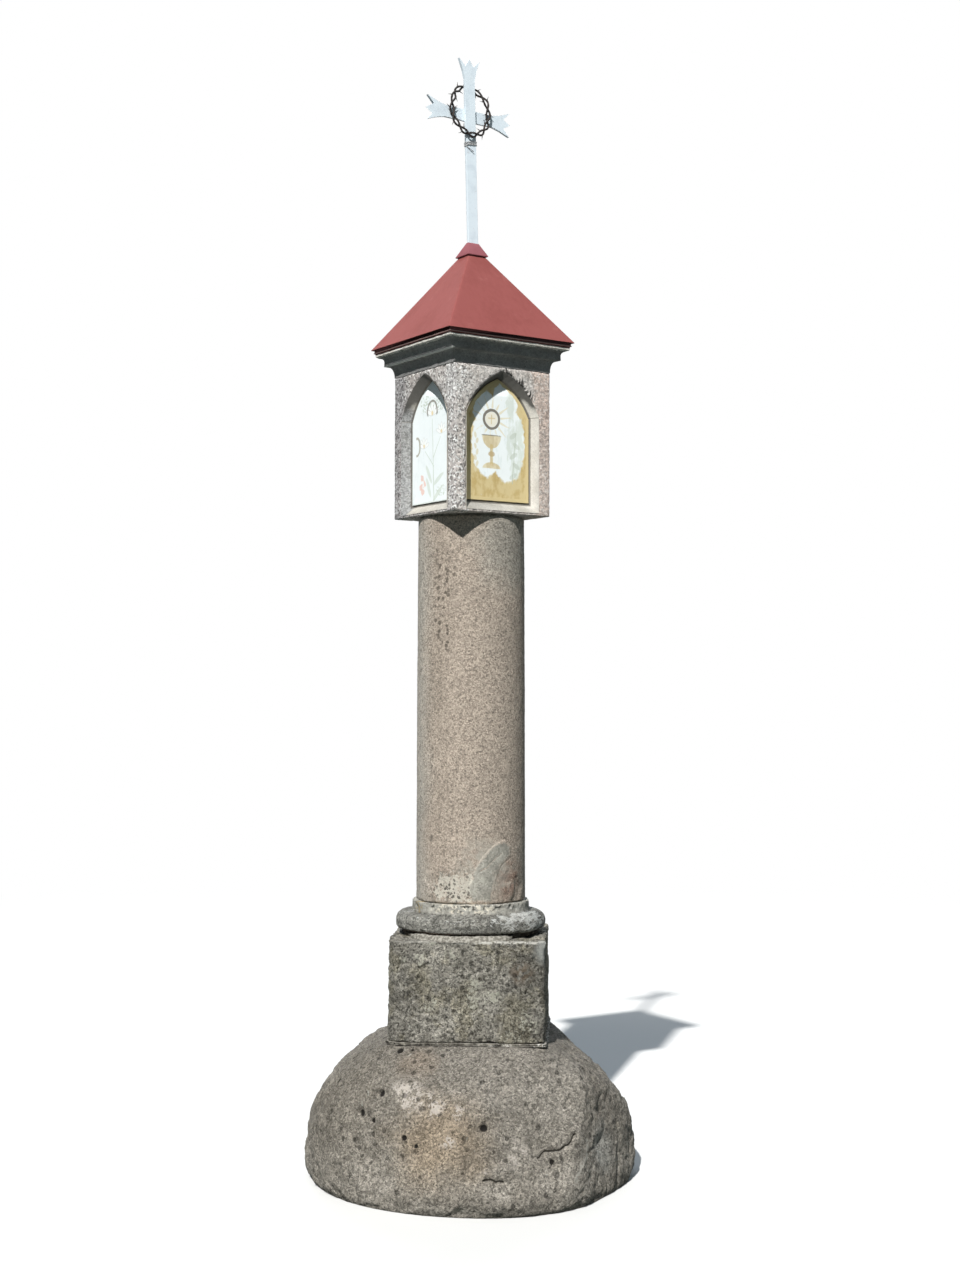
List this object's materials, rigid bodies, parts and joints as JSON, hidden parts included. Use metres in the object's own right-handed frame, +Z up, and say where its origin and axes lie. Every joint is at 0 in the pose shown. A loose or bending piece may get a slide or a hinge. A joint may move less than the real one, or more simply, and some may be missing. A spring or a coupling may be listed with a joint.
{
  "type": "wayside shrine",
  "caption": "Wayside shrine: stone column on a domed base stone, head block with pointed picture niches, sheet-metal pyramid roof and iron cross with a wire crown.",
  "frame": {"origin": "on the ground under the column's axis", "axes": "+Z up along the column, -Y out of the front niche, which the cross faces too"},
  "size_m": [1.0991, 1.1203, 3.7848],
  "materials": {
    "rough_stone": "rough weathered stone with lichen",
    "mortar": "pale lime mortar",
    "plinth_stone": "pitted weathered stone",
    "joint_mortar": "dark dirty mortar",
    "base_stone": "worn stone with cream lichen",
    "shaft_stone": "granular beige stone",
    "repair_mortar": "smooth grey repair mortar",
    "head_stone": "pinkish-grey stone with exposed grain",
    "niche_render": "smooth pale lime render",
    "picture_paint": "matt painted panel",
    "cornice_stone": "weathered moulded stone",
    "soffit": "masonry with dark red paint at its soffit",
    "roof_paint": "matt oxide-red paint",
    "trim_paint": "matt dark red paint",
    "cross_paint": "satin white paint",
    "rusty_wire": "dark rust",
    "grey_wire": "dull galvanised wire"
  },
  "bodies": {
    "root": {"base_boulder": "rough_stone", "bedding_mortar": "mortar", "plinth_block": "plinth_stone", "plinth_joint": "joint_mortar", "column_base": "base_stone", "shaft": "shaft_stone", "shaft_patch": "repair_mortar", "head_joint": "mortar", "head_block": "head_stone", "niche_render_front": "niche_render", "niche_render_right": "niche_render", "niche_render_back": "niche_render", "niche_render_left": "niche_render", "picture_front": "picture_paint", "picture_right": "picture_paint", "picture_back": "picture_paint", "picture_left": "picture_paint", "cornice": "cornice_stone", "roof_core": "soffit", "roof_sheet_front": "roof_paint", "roof_sheet_right": "roof_paint", "roof_sheet_back": "roof_paint", "roof_sheet_left": "roof_paint", "eave_trim_front": "trim_paint", "eave_trim_right": "trim_paint", "eave_trim_back": "trim_paint", "eave_trim_left": "trim_paint", "roof_cap": "roof_paint", "cross_post": "cross_paint", "cross_arm": "cross_paint", "crown_strand_a": "rusty_wire", "crown_strand_b": "rusty_wire", "crown_thorns": "rusty_wire", "crown_tie": "grey_wire"}
  },
  "joints": []
}
